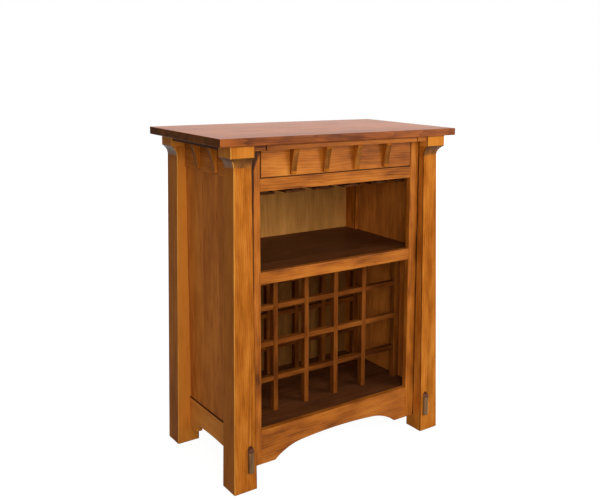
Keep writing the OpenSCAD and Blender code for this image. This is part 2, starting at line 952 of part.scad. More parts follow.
lattice_bars(front_lattice_y);  // front_lattice_bars
lattice_uprights(rear_lattice_y);  // rear_lattice_uprights
lattice_bars(rear_lattice_y);  // rear_lattice_bars
top_blocks();
top_screws();
slide_outer(-1);  // slide_outer_left
slide_outer(1);  // slide_outer_right
slide_middle(-1);  // slide_middle_left
slide_middle(1);  // slide_middle_right
slide_inner(-1);  // slide_inner_left
slide_inner(1);  // slide_inner_right
guide_screws();
drawer_screws();
drawer_face();
drawer_strip();
drawer_corbels();
drawer_side(-1);  // drawer_side_left
drawer_side(1);  // drawer_side_right
drawer_end(box_y[0]);  // drawer_box_front
drawer_end(box_y[1] - box_t);  // drawer_box_back
drawer_bottom();
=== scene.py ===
import json
import math

import bmesh
import bpy
from mathutils import Matrix, Vector


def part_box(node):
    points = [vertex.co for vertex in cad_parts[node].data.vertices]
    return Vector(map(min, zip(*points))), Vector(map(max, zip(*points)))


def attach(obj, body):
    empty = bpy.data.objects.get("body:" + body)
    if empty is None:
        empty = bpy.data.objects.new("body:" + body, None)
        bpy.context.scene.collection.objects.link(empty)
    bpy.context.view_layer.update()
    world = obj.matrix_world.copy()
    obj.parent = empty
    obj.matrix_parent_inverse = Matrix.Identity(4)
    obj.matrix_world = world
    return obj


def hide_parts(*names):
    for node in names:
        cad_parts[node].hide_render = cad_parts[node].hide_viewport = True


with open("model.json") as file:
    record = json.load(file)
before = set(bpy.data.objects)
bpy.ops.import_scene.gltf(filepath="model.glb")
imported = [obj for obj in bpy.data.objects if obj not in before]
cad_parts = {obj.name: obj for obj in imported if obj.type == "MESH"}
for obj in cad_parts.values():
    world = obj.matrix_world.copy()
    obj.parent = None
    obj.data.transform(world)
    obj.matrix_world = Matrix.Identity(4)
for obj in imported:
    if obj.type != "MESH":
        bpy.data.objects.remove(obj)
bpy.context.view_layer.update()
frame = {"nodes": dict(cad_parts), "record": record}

# Camera.
# It stands a little over two metres from the left front corner, at chest height, and looks slightly down.
# The photograph is a crop, so its centre of perspective lies above and to the right of its middle.
PHOTO_WIDTH = 600
FOCAL_PIXELS = 792.5
CENTRE_RIGHT_PIXELS = 80
CENTRE_UP_PIXELS = 63
CAMERA_PLACE = Vector((-1.4151, -2.2157, 1.2738))
CAMERA_YAW = math.radians(37.917)
CAMERA_PITCH = math.radians(8.74)
CAMERA_ROLL = math.radians(0.972)
SENSOR_WIDTH = 36

lens = bpy.data.cameras.new("camera")
lens.sensor_width = SENSOR_WIDTH
lens.lens = FOCAL_PIXELS / PHOTO_WIDTH * SENSOR_WIDTH
lens.shift_x = -CENTRE_RIGHT_PIXELS / PHOTO_WIDTH
lens.shift_y = -CENTRE_UP_PIXELS / PHOTO_WIDTH
camera = bpy.data.objects.new("camera", lens)
camera.matrix_world = (
    Matrix.Translation(CAMERA_PLACE)
    @ Matrix.Rotation(-CAMERA_YAW, 4, "Z")
    @ Matrix.Rotation(math.pi / 2 - CAMERA_PITCH, 4, "X")
    @ Matrix.Rotation(CAMERA_ROLL, 4, "Z")
)
bpy.context.scene.collection.objects.link(camera)
bpy.context.scene.camera = camera
bpy.context.scene.view_settings.view_transform = "Standard"


# Studio.
# The cabinet stands on a white sheet that keeps a faint shadow, in a room that is white to look at.
# Soft boxes to the right and beside the camera light it from the front, and one over it lights the top.
class Wire:
    """An output of a node that can stand in arithmetic."""

    def __init__(self, graph, socket):
        self.graph = graph
        self.socket = socket

    def siblings(self):
        """All the outputs of its node."""
        return [Wire(self.graph, socket) for socket in self.socket.node.outputs]

    def math(self, operation, other=0.0):
        return self.graph.node("ShaderNodeMath", {"operation": operation}, {0: self, 1: other})

    def __add__(self, other):
        return self.math("ADD", other)

    def __sub__(self, other):
        return self.math("SUBTRACT", other)

    def __rsub__(self, other):
        return self.graph.node("ShaderNodeMath", {"operation": "SUBTRACT"}, {0: other, 1: self})

    def __mul__(self, other):
        return self.math("MULTIPLY", other)

    def __truediv__(self, other):
        return self.math("DIVIDE", other)

    def __pow__(self, other):
        return self.math("POWER", other)

    __radd__ = __add__
    __rmul__ = __mul__


class Graph:
    """The node tree of a material, of the world or of a geometry group."""

    def __init__(self, tree):
        self.tree = tree

    def node(self, kind, settings, sockets, output=0):
        """Adds a node: its settings first, then the values or wires of its sockets."""
        made = self.tree.nodes.new(kind)
        for key, value in settings.items():
            if key == "stops":
                stops = made.color_ramp.elements
                while len(stops) < len(value):
                    stops.new(1)
                for stop, (place, colour) in zip(stops, value):
                    stop.position = place
                    stop.color = (*colour, 1)
            else:
                setattr(made, key, value)
        for key, value in sockets.items():
            self.feed(made.inputs[key], value)
        return Wire(self, made.outputs[output]) if made.outputs else made

    def feed(self, socket, value):
        if isinstance(value, Wire):
            self.tree.links.new(value.socket, socket)
        else:
            socket.default_value = value

    def seen(self):
        """1 for what the camera sees, straight or in a reflection, and 0 for what lights the object."""
        straight, glossy, through = (self.node("ShaderNodeLightPath", {}, {}, output=f"Is {kind} Ray")
                                     for kind in ("Camera", "Glossy", "Transmission"))
        return straight.math("MAXIMUM", glossy).math("MAXIMUM", through)


def material(name, sockets_of):
    """A material whose main shader takes the sockets that sockets_of makes in its graph."""
    made = bpy.data.materials.new(name)
    made.use_nodes = True
    graph = Graph(made.node_tree)
    shader = made.node_tree.nodes["Principled BSDF"]
    for key, value in sockets_of(graph).items():
        graph.feed(shader.inputs[key], value)
    return made


WHITE = (1, 1, 1, 1)
ROOM_LIGHT = 0.2
world = bpy.data.worlds.new("white_room")
world.use_nodes = True
bpy.context.scene.world = world
room = Graph(world.node_tree)
background = world.node_tree.nodes["Background"]
room.feed(background.inputs["Color"], WHITE)
room.feed(background.inputs["Strength"], room.seen() * (1 - ROOM_LIGHT) + ROOM_LIGHT)

SHEET_HALF = 9
SHEET_COLOUR = (0.62, 0.62, 0.62, 1)
SHEET_ROUGHNESS = 0.9
SHEET_SHINE = 0.1
SHEET_GLOW = 1.2
GLOW_NEAR = 0.8
GLOW_FAR = 1.0
NEAR_RADIUS = 0.6
FAR_RADIUS = 2.4
sheet_mesh = bpy.data.meshes.new("studio_floor")
sheet_corners = [(x * SHEET_HALF, y * SHEET_HALF, 0) for x, y in ((-1, -1), (1, -1), (1, 1), (-1, 1))]
sheet_mesh.from_pydata(sheet_corners, [], [(0, 1, 2, 3)])
sheet = bpy.data.objects.new("studio_floor", sheet_mesh)
bpy.context.scene.collection.objects.link(sheet)

paper = material("white_sheet", lambda graph: {
    "Base Color": SHEET_COLOUR, "Roughness": SHEET_ROUGHNESS, "Specular IOR Level": SHEET_SHINE})
paper_graph = Graph(paper.node_tree)
paper_place = paper_graph.node("ShaderNodeTexCoord", {}, {}, output="Object")
from_middle = paper_graph.node("ShaderNodeVectorMath", {"operation": "LENGTH"},
                               {0: paper_place}, output="Value")
glow_share = paper_graph.node("ShaderNodeMapRange", {}, {
    0: from_middle, 1: NEAR_RADIUS, 2: FAR_RADIUS, 3: GLOW_NEAR, 4: GLOW_FAR})
glow = paper_graph.node("ShaderNodeEmission", {}, {"Color": WHITE, "Strength": SHEET_GLOW})
plain = Wire(paper_graph, paper.node_tree.nodes["Principled BSDF"].outputs[0])
lit_sheet = paper_graph.node("ShaderNodeMixShader", {}, {
    0: paper_graph.seen() * glow_share, 1: plain, 2: glow})
paper_graph.feed(paper.node_tree.nodes["Material Output"].inputs["Surface"], lit_sheet)
sheet_mesh.materials.append(paper)

LIGHT_TARGET = Vector((0, 0, 0.6))
SOFT_BOXES = {
    "key_light": ((2.4, -3.4, 1.9), (1.8, 2.0), 77),
    "front_light": ((-1.7, -3.6, 1.9), (2.0, 2.0), 83),
    "top_light": ((0.3, 0.9, 3.0), (1.6, 1.6), 26),
}
for name, (place, (width, height), power) in SOFT_BOXES.items():
    lamp = bpy.data.lights.new(name, "AREA")
    lamp.shape = "RECTANGLE"
    lamp.size = width
    lamp.size_y = height
    lamp.energy = power
    soft_box = bpy.data.objects.new(name, lamp)
    soft_box.location = place
    soft_box.rotation_euler = (LIGHT_TARGET - Vector(place)).to_track_quat("-Z", "Y").to_euler()
    soft_box.visible_camera = False
    bpy.context.scene.collection.objects.link(soft_box)

# Posts.
# Four posts of stained hardwood carry the cabinet, each sawn from one square blank with its grain upright.
# A cove leads from the tapered shaft to the square cap, and every edge is eased before the lacquer goes on.
AMBER = [(0.0, (0.150, 0.036, 0.004)), (0.38, (0.340, 0.092, 0.009)),
         (0.62, (0.480, 0.142, 0.015)), (1.0, (0.640, 0.225, 0.030))]
POST_ENDS = [(0.0, (0.085, 0.032, 0.009)), (0.38, (0.240, 0.085, 0.016)),
             (0.62, (0.430, 0.140, 0.019)), (1.0, (0.620, 0.225, 0.032))]
# Painted shade: the outer side faces of the posts are coloured darker than their fronts
FLANK_PAINTED_SHADE = [(0.0, (0.135, 0.034, 0.004)), (0.38, (0.285, 0.082, 0.008)),
         (0.62, (0.385, 0.118, 0.013)), (1.0, (0.490, 0.175, 0.025))]
# Painted shade in the gaps: a near-black colour for the posts' inner front edges, the rims of the drawer
# face and strip, and the upward faces of the side boards
PAINTED_GAP_SHADE = [(0.0, (0.040, 0.011, 0.002)), (1.0, (0.150, 0.042, 0.006))]
# Painted highlight for the posts' outer front edges
POST_PAINTED_HIGHLIGHT = [(0.0, (0.440, 0.150, 0.022)), (1.0, (0.860, 0.400, 0.075))]
# The rear left post is painted much paler, as painted light on its front where the front left post shades
# it; the other posts differ a little in tone
POST_PALENESS = {"post_front_left": 0.62, "post_front_right": 0.70,
                 "post_rear_left": 1.06, "post_rear_right": 0.60}
UPWARD = (0, 0, 1)
COVE_SLOPE = 0.06
COVE_FOOT = 0.976
COVE_TOP = 1.007
# Painted shade under each cap: darkest at the top of the cove and reaching down the neck; the cap itself
# gets painted light
COVE_PAINTED_SHADE = 0.30
COVE_LACQUER = 0.07
NECK_PAINTED_SHADE = 0.18
NECK_FADE = 0.02
CAP_PAINTED_LIGHT = 0.34
CAP_FADE = 0.002
FLANK_FIGURE = 0.6
FLAT_ON = 0.97
EDGE_TURN = 0.2
EASE = 0.0016
POST_EASE = 0.0025
EASE_SEGMENTS = 2
EASE_ROUNDNESS = 0.6
SAME_SPOT = 1e-6
SAME_PLANE = math.radians(0.5)
SHARP_CORNER = math.radians(40)
SHARPEST_SMOOTH = math.radians(20)
FLAT_FACE_AREA = 0.0008

# Wood: the reach of each noise along and across the grain with its detail, and the share of each in the tone
WARP = (2.2, 16, 2)
CLOUD = (1.6, 7, 2)
FIGURE = (9, 38, 3)
FIBRE = (8, 420, 3)
PORES = (70, 1100, 1)
NOISE_ROUGHNESS = 0.55
MEDIUM = 0.56
CLOUD_SHARE = 1.1
FIGURE_SHARE = 1.1
FIBRE_SHARE = 0.6
LATE_SHARE = 0.26
PORE_SHARE = 0.12
BOARD_SHARE = 0.13
PORE_FROM = 0.60
PORE_TO = 0.74
RING_WIDTH = 0.0052
RING_WARP = 0.03
LATE_POWER = 3
PITH_ACROSS = (0.035, 0.048, 0.061, 0.074)
PITH_BEHIND = (0.050, 0.061, 0.072)
GRAIN_LEANS = (0.010, 0.017, 0.024, 0.031, 0.038)
LEAN_BEHIND = 0.6
BOARD_SHIFTS = (0.731, 0.017, 0.05)
SATIN = 0.36
LACQUER = 0.008
FIBRE_SHEEN = 0.14
PORE_SHEEN = 0.10
RELIEF_STRENGTH = 0.16
RELIEF_DEPTH = 0.0003
PORE_RELIEF = 0.8
AXES = {"X": (0, 1, 2), "Y": (1, 0, 2), "Z": (2, 0, 1)}
body_of = {node: body for body, nodes in frame["record"]["behaviour"]["bodies"].items() for node in nodes}


def wood(node, stain, along, seed, gloss=SATIN, board=None, name=None, lacquer=LACQUER, figured=1.0,
         paleness=MEDIUM, painted_light_and_shade=()):
    """Wood with its grain along one axis; board is (axis, width, shift) where boards lie side by side.

    figured is how strong its figure is, and paleness is the middle of its tone, from 0 to 1.
    The last argument lists (direction, where it is darkest, where it is clear, by how much) of painted
    shade, or of painted light where the amount is negative.
    """
    low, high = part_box(node)
    middle = (low + high) / 2
    order = AXES[along]
    pith_across = PITH_ACROSS[seed % len(PITH_ACROSS)]
    pith_behind = PITH_BEHIND[seed % len(PITH_BEHIND)]
    lean = GRAIN_LEANS[seed % len(GRAIN_LEANS)]

    def sockets_of(graph):
        place = graph.node("ShaderNodeTexCoord", {}, {}, output="Object")
        spot = graph.node("ShaderNodeSeparateXYZ", {}, {0: place}).siblings()
        run, wide, deep = (spot[axis] - middle[axis] for axis in order)
        if board:
            axis, width, shift = board
            index = (spot["XYZ".index(axis)] / width + shift).math("FLOOR")
            tone = graph.node("ShaderNodeTexWhiteNoise", {"noise_dimensions": "1D"}, {"W": index + seed})
            tone = tone - 0.5
            run = run + index * BOARD_SHIFTS[0]
            wide = wide + index * BOARD_SHIFTS[1]
            deep = deep + tone * BOARD_SHIFTS[2]

        def streaks(run_scale, cross_scale, detail):
            stretched = graph.node("ShaderNodeCombineXYZ", {}, {
                0: run * run_scale + seed, 1: wide * cross_scale, 2: deep * cross_scale})
            return graph.node("ShaderNodeTexNoise", {}, {
                "Vector": stretched, "Scale": 1, "Detail": detail, "Roughness": NOISE_ROUGHNESS})

        warp = streaks(*WARP)
        cloud = streaks(*CLOUD)
        figure = streaks(*FIGURE)
        fibre = streaks(*FIBRE)
        pores = streaks(*PORES)
        across = wide + pith_across + run * lean + (warp - 0.5) * RING_WARP
        behind = deep + pith_behind + run * lean * LEAN_BEHIND
        from_pith = (across * across + behind * behind) ** 0.5 / RING_WIDTH
        late = from_pith.math("FRACT") ** LATE_POWER
        pore = graph.node("ShaderNodeMapRange", {}, {0: pores, 1: PORE_FROM, 2: PORE_TO, 3: 0, 4: 1})
        shade = paleness + (cloud - 0.5) * CLOUD_SHARE * figured
        shade = shade + (figure - 0.5) * FIGURE_SHARE * figured + (fibre - 0.5) * FIBRE_SHARE
        shade = shade - late * LATE_SHARE * figured - pore * PORE_SHARE
        if board:
            shade = shade + tone * BOARD_SHARE
        # Painted shade, or painted light where the amount is negative, laid on along a direction
        for direction, dark_at, clear_at, drop in painted_light_and_shade:
            reached = graph.node("ShaderNodeVectorMath", {"operation": "DOT_PRODUCT"},
                                 {0: place, 1: direction}, output="Value")
            shade = shade - graph.node("ShaderNodeMapRange", {}, {
                0: reached, 1: clear_at, 2: dark_at, 3: 0, 4: drop})
        rough = gloss + (fibre - 0.5) * FIBRE_SHEEN + pore * PORE_SHEEN
        relief = graph.node("ShaderNodeBump", {}, {
            "Strength": RELIEF_STRENGTH, "Distance": RELIEF_DEPTH, "Height": fibre - pore * PORE_RELIEF})
        return {"Base Color": graph.node("ShaderNodeValToRGB", {"stops": stain}, {0: shade}),
                "Roughness": rough, "Normal": relief, "Specular IOR Level": lacquer}

    return material(name or node, sockets_of)


def place_piece(node, mesh):
    """Stands a mesh in the place of a CAD node."""
    piece = bpy.data.objects.new(node + "_look", mesh)
    bpy.context.scene.collection.objects.link(piece)
    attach(piece, body_of[node])
    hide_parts(node)


def touching(edges):
    """Splits edges into groups that touch one another, in the order of their first edges."""
    wanted = set(edges)
    seen = set()
    groups = []
    for first in edges:
        if first in seen:
            continue
        seen.add(first)
        group = [first]
        for edge in group:
            for other in (other for corner in edge.verts for other in corner.link_edges):
                if other in wanted and other not in seen:
                    seen.add(other)
                    group.append(other)
        groups.append(group)
    return groups


def eased(node, face, ease=EASE, others=()):
    """Stands a copy of a CAD node with eased edges in its place; others are (material, test of a normal)."""
    shape = bmesh.new()
    shape.from_mesh(frame["nodes"][node].data)
    bmesh.ops.remove_doubles(shape, verts=shape.verts, dist=SAME_SPOT)
    bmesh.ops.dissolve_limit(shape, angle_limit=SAME_PLANE, verts=shape.verts, edges=shape.edges)
    corners = [edge for edge in shape.edges
               if len(edge.link_faces) == 2 and edge.is_convex
               and edge.calc_face_angle() > SHARP_CORNER
               and edge.calc_length() > ease]
    for group in touching(corners):
        bmesh.ops.bevel(shape, geom=[edge for edge in group if edge.is_valid], offset=ease,
                        segments=EASE_SEGMENTS, profile=EASE_ROUNDNESS, affect="EDGES", clamp_overlap=True)
    shape.normal_update()
    for side in shape.faces:
        side.smooth = side.calc_area() < FLAT_FACE_AREA
        for index, (other, belongs) in enumerate(others):
            if belongs(side.normal):
                side.material_index = index + 1
    mesh = bpy.data.meshes.new(node + "_look")
    shape.to_mesh(mesh)
    shape.free()
    mesh.set_sharp_from_angle(angle=SHARPEST_SMOOTH)
    mesh.materials.append(face)
    for other, _ in others:
        mesh.materials.append(other)
    place_piece(node, mesh)


for seed, (node, paleness) in enumerate(POST_PALENESS.items()):
    inward = 1 if node.endswith("left") else -1
    # The cove is end grain that takes up more stain, with painted shade darkest under the cap
    cove = wood(node, POST_ENDS, "Z", seed=seed + 5, name=node + "_cove", lacquer=COVE_LACQUER,
                paleness=MEDIUM - NECK_PAINTED_SHADE, painted_light_and_shade=[(UPWARD, COVE_TOP, COVE_FOOT, COVE_PAINTED_SHADE)])
    gap_shade = wood(node, PAINTED_GAP_SHADE, "Z", seed=seed + 5, name=node + "_seam")
    painted_highlight = wood(node, POST_PAINTED_HIGHLIGHT, "Z", seed=seed + 5, name=node + "_rubbed")
    # Painted shade from the cove down the neck, and painted light on the cap
    neck_shade_and_cap_light = [(UPWARD, COVE_FOOT, COVE_FOOT - NECK_FADE, NECK_PAINTED_SHADE),
                    (UPWARD, COVE_TOP + CAP_FADE, COVE_TOP, -NECK_PAINTED_SHADE - CAP_PAINTED_LIGHT)]
    face = wood(node, AMBER, "Z", seed=seed + 1, paleness=paleness, painted_light_and_shade=neck_shade_and_cap_light)
    shaded_flank = wood(node, FLANK_PAINTED_SHADE, "Z", seed=seed + 1, figured=FLANK_FIGURE, painted_light_and_shade=neck_shade_and_cap_light,
                 name=node + "_flank")
    # Painted shade on the outer sides and on the inner front edges, and a painted highlight on the outer
    # front edges
    eased(node, face, ease=POST_EASE, others=[
        (shaded_flank, lambda normal: normal.x * inward < -FLAT_ON),
        (cove, lambda normal: abs(normal.z) > COVE_SLOPE),
        (gap_shade, lambda normal: abs(normal.y) > EDGE_TURN and normal.x * inward > EDGE_TURN),
        (painted_highlight, lambda normal: abs(normal.y) > EDGE_TURN and EDGE_TURN < -normal.x * inward < FLAT_ON)])

# Plugs.
# A round-ended plug of darker wood is glued into a socket in the foot of each front post.
# It is shaped with the grain upright and its face is bowed and polished.
PLUG_STAIN = [(0.0, (0.060, 0.024, 0.008)), (0.40, (0.170, 0.080, 0.026)),
              (0.65, (0.270, 0.140, 0.050)), (1.0, (0.400, 0.240, 0.100))]
PLUG_NOSE = [(0.0, (0.030, 0.008, 0.003)), (1.0, (0.150, 0.040, 0.014))]
PLUG_EASE = 0.0012
PLUG_GLOSS = 0.28
PLUG_LACQUER = 0.2
NOSE_SLOPE = 0.2
NOSE_GLOSS = 0.3
NOSE_LACQUER = 0.1
plug = wood("post_plugs", PLUG_STAIN, "Z", seed=6, gloss=PLUG_GLOSS, lacquer=PLUG_LACQUER)
nose = wood("post_plugs", PLUG_NOSE, "Z", seed=7, gloss=NOSE_GLOSS, lacquer=NOSE_LACQUER,
            name="post_plugs_nose")
eased("post_plugs", plug, ease=PLUG_EASE, others=[(nose, lambda normal: normal.z > NOSE_SLOPE)])

# Front frame.
# Stiles and rails of the same wood are tenoned together and glued between the posts.
# The grain runs along each board, the lowest rail is sawn to an arch, and shade is painted beside the posts.
# The frame stain reaches deeper, for the painted shade beside the posts
FRAME_AMBER_FOR_SHADE = [(0.0, (0.034, 0.010, 0.002)), (0.16, (0.150, 0.036, 0.004)), *AMBER[1:]]
FRAME_LACQUER = 0.1
FRAME_GRAIN = {"stile_left": "Z", "stile_right": "Z", "stile_block_left": "X", "stile_block_right": "X",
               "drawer_rail": "X", "shelf_rail": "X", "bottom_rail": "X"}
# Painted shade in the corners: beside each post, along the cove of the left one, and on the left block
PAINTED_CORNER_SHADE = {
    "stile_left": [((1, 0, -0.0086), -0.3165, -0.3120, 0.60), ((1, 0, -0.51), -0.8065, -0.7985, 0.46)],
    "stile_block_left": [((1, 0, 0), -0.2840, -0.2600, 0.38)],
    "stile_right": [((1, 0, 0), 0.3215, 0.3165, 0.55)],
}
for seed, (node, along) in enumerate(FRAME_GRAIN.items()):
    eased(node, wood(node, FRAME_AMBER_FOR_SHADE, along, seed=seed + 11, lacquer=FRAME_LACQUER,
                     painted_light_and_shade=PAINTED_CORNER_SHADE.get(node, ())))

# Sides.
# Each side is a panel of boards glued edge to edge, held in a groove by the posts and by two rails.
# The top rail carries a strip that closes the gap under the tabletop, and the low rail is sawn to an arch.
RUSSET = [(0.0, (0.185, 0.049, 0.007)), (0.38, (0.395, 0.113, 0.016)),
          (0.62, (0.555, 0.173, 0.026)), (1.0, (0.715, 0.262, 0.043))]
# Painted shadow: the strips under the tabletop are coloured near black, as the shadow of the overhang
PAINTED_SHADOW = [(0.0, (0.030, 0.009, 0.002)), (0.38, (0.070, 0.021, 0.004)),
          (0.62, (0.105, 0.033, 0.007)), (1.0, (0.160, 0.055, 0.013))]
SIDE_BOARDS = (("rail", RUSSET, 0.90), ("apron", RUSSET, MEDIUM), ("strip", PAINTED_SHADOW, MEDIUM))
SIDE_FIGURE = 0.6
PANEL_BOARD = 0.109
PANEL_EASE = 0.001
# Painted shade on the side boards and panels, darker towards the tabletop
PAINTED_SHADE_UNDER_TOP = (UPWARD, 1.020, 0.900, 0.24)
for seed, side in enumerate(("left", "right")):
    for step, (part, stain, paleness) in enumerate(SIDE_BOARDS):
        node = f"side_{part}_{side}"
        # Painted shade in the gap on the upward faces of each side board
        ledge_shade = wood(node, PAINTED_GAP_SHADE, "Y", seed=20 + 5 * seed + step, name=node + "_ledge")
        plank = wood(node, stain, "Y", seed=20 + 5 * seed + step, figured=SIDE_FIGURE, paleness=paleness,
                     painted_light_and_shade=[PAINTED_SHADE_UNDER_TOP])
        eased(node, plank, others=[(ledge_shade, lambda normal: normal.z > EDGE_TURN)])
    node = f"side_panel_{side}"
    panel = wood(node, RUSSET, "Z", seed=24 + 5 * seed, board=("Y", PANEL_BOARD, 0.5), figured=SIDE_FIGURE,
                 painted_light_and_shade=[PAINTED_SHADE_UNDER_TOP])
    eased(node, panel, ease=PANEL_EASE)

# Corbels.
# Short brackets are sawn from thin boards with the grain upright and glued under the overhang.
# Their hollow faces cut across the grain, which takes up more stain and turns darker.
CORBEL_ENDS = [(0.0, (0.060, 0.017, 0.003)), (0.40, (0.170, 0.055, 0.009)),
               (0.65, (0.270, 0.092, 0.016)), (1.0, (0.420, 0.150, 0.027))]
CORBEL_LINES = {"side_corbels_left": "Y", "side_corbels_right": "Y", "drawer_corbels": "X"}
CORBEL_PITCH = 0.117
CORBEL_EASE = 0.001
HOLLOW_LACQUER = 0.01
ACROSS_GRAIN = 0.12
for seed, (node, line) in enumerate(CORBEL_LINES.items()):
    board = (line, CORBEL_PITCH, 0.0)
    hollow = wood(node, CORBEL_ENDS, "Z", seed=seed + 34, board=board, name=node + "_hollow",
                  lacquer=HOLLOW_LACQUER)
    eased(node, wood(node, AMBER, "Z", seed=seed + 31, board=board), ease=CORBEL_EASE,
          others=[(hollow, lambda normal: abs(normal.z) > ACROSS_GRAIN)])

# Back.
# Two rails are tenoned between the rear posts, and a thin veneered panel sits in a groove around it.
# Its veneer takes up less stain than the boards around it, and behind the lattice, below the shelf, shade is
# painted on it.
VENEER = [(0.0, (0.215, 0.080, 0.016)), (0.38, (0.450, 0.186, 0.041)),
          (0.62, (0.610, 0.270, 0.063)), (1.0, (0.780, 0.390, 0.106))]
VENEER_FIGURE = 0.6
LEAVES = ("X", 0.166, 0.0)
SHELF_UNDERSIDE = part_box("shelf")[0].z
# Painted shade on the back panel, darker below the shelf
PAINTED_SHADE_BEHIND_LATTICE = (UPWARD, SHELF_UNDERSIDE - 0.04, SHELF_UNDERSIDE, 0.46)
eased("back_rail_top", wood("back_rail_top", RUSSET, "X", seed=41))
eased("back_rail_bottom", wood("back_rail_bottom", RUSSET, "X", seed=42))
back = wood("back_panel", VENEER, "Z", seed=43, board=LEAVES, figured=VENEER_FIGURE, painted_light_and_shade=[PAINTED_SHADE_BEHIND_LATTICE])
outside = wood("back_panel", VENEER, "Z", seed=44, board=LEAVES, figured=VENEER_FIGURE, name="back_outside")
eased("back_panel", back, ease=PANEL_EASE, others=[(outside, lambda normal: normal.y > 0)])

# Shelves.
# The floor board and the shelf rest on cleats, and the board over the rack is screwed to the drawer guides.
# All three are glued from boards that run from side to side, and are stained dark.
UMBER = [(0.0, (0.036, 0.011, 0.004)), (0.38, (0.090, 0.028, 0.009)),
         (0.62, (0.138, 0.045, 0.014)), (1.0, (0.205, 0.073, 0.025))]
PLAIN = [(0.0, (0.330, 0.200, 0.095)), (0.38, (0.470, 0.310, 0.165)),
         (0.62, (0.560, 0.385, 0.220)), (1.0, (0.680, 0.500, 0.310))]
SHELF_BOARDS = ("Y", 0.1, 0.0)
SHELF_GLOSS = 0.3
SHELF_FIGURE = 0.5
RAW_GLOSS = 0.6
RAW_FIGURE = 0.5
for seed, node in enumerate(("floor_board", "shelf", "rack_board")):
    eased(node, wood(node, UMBER, "X", seed=seed + 51, gloss=SHELF_GLOSS, board=SHELF_BOARDS,
                     figured=SHELF_FIGURE))
for seed, node in enumerate(("floor_cleats", "shelf_cleats")):
    eased(node, wood(node, PLAIN, "Y", seed=seed + 55, gloss=RAW_GLOSS, figured=RAW_FIGURE))

# Lattice.
# Upright and level bars are halved into each other and glued, in a front and a rear lattice.
# Each bar is sawn with its grain along it and lightly eased.
BAR_STAIN = [(0.0, (0.060, 0.014, 0.003)), (0.38, (0.150, 0.039, 0.006)),
             (0.62, (0.225, 0.062, 0.009)), (1.0, (0.330, 0.104, 0.017))]
BAR_PITCH = 0.117
ROW_PITCH = 0.119
BAR_EASE = 0.0008
for seed, end in enumerate(("front", "rear")):
    node = f"{end}_lattice_uprights"
    eased(node, wood(node, BAR_STAIN, "Z", seed=61 + 2 * seed, board=("X", BAR_PITCH, 0.0)), ease=BAR_EASE)
    node = f"{end}_lattice_bars"
    eased(node, wood(node, BAR_STAIN, "X", seed=62 + 2 * seed, board=("Z", ROW_PITCH, 0.0)), ease=BAR_EASE)

# Stemware rack.
# Flat strips on narrower webs are screwed up under the rack board, with an open slot between each two.
# The grain runs from front to back, and both are stained like the board over them.
SLOT_PITCH = 0.1113
eased("stem_flanges", wood("stem_flanges", UMBER, "Y", seed=71, board=("X", SLOT_PITCH, 0.5)))
eased("stem_webs", wood("stem_webs", UMBER, "Y", seed=72, board=("X", SLOT_PITCH, 0.5)), ease=BAR_EASE)

# Tabletop.
# Five boards are glued edge to edge, with eased edges and a fuller lacquer than the rest.
# Blocks under it take the screws that hold it down.
TOP_STAIN = [(0.0, (0.110, 0.025, 0.005)), (0.38, (0.255, 0.062, 0.010)),
             (0.62, (0.365, 0.095, 0.015)), (1.0, (0.490, 0.150, 0.027))]
TOP_FACE = [(0.0, (0.180, 0.040, 0.008)), (0.38, (0.390, 0.095, 0.015)),
            (0.62, (0.545, 0.143, 0.023)), (1.0, (0.700, 0.220, 0.040))]
TOP_ENDS = [(0.0, (0.040, 0.011, 0.003)), (0.38, (0.100, 0.030, 0.006)),
            (0.62, (0.150, 0.047, 0.010)), (1.0, (0.230, 0.078, 0.018))]
TOP_BOARDS = ("Y", 0.099, 0.5)
TOP_EDGE_GLOSS = 0.22
TOP_EDGE_LACQUER = 0.12
TOP_FACE_GLOSS = 0.3
TOP_FACE_LACQUER = 0.075
TOP_FACE_FIGURE = 0.7
TOP_ENDS_LACQUER = 0.005
ENDS_FROM = 0.7
top_edge = wood("top", TOP_STAIN, "X", seed=81, gloss=TOP_EDGE_GLOSS, board=TOP_BOARDS,
                lacquer=TOP_EDGE_LACQUER)
top_face = wood("top", TOP_FACE, "X", seed=81, gloss=TOP_FACE_GLOSS, board=TOP_BOARDS, name="top_face",
                lacquer=TOP_FACE_LACQUER, figured=TOP_FACE_FIGURE)
top_ends = wood("top", TOP_ENDS, "X", seed=83, board=TOP_BOARDS, name="top_ends", lacquer=TOP_ENDS_LACQUER)
eased("top", top_edge, others=[(top_ends, lambda normal: abs(normal.x) > ENDS_FROM),
                               (top_face, lambda normal: normal.z > ENDS_FROM)])
eased("top_blocks", wood("top_blocks", PLAIN, "X", seed=82, gloss=RAW_GLOSS, figured=RAW_FIGURE))

# Drawer.
# The face and the strip over it match the frame, and a dovetailed box of pale maple is screwed behind them.
# The bottom sits in a groove all around, and a guide board behind each stile carries the slides.
FACE_LACQUER = 0.12
BOX_GLOSS = 0.45
BOX_GRAIN = {"drawer_side_left": "Y", "drawer_side_right": "Y",
             "drawer_box_front": "X", "drawer_box_back": "X"}
BOTTOM_FIGURE = 0.4
MAPLE_ENDS = [(0.0, (0.200, 0.115, 0.050)), (0.40, (0.300, 0.185, 0.090)),
              (0.65, (0.390, 0.250, 0.130)), (1.0, (0.480, 0.330, 0.190))]
BOX_EASE = 0.0005
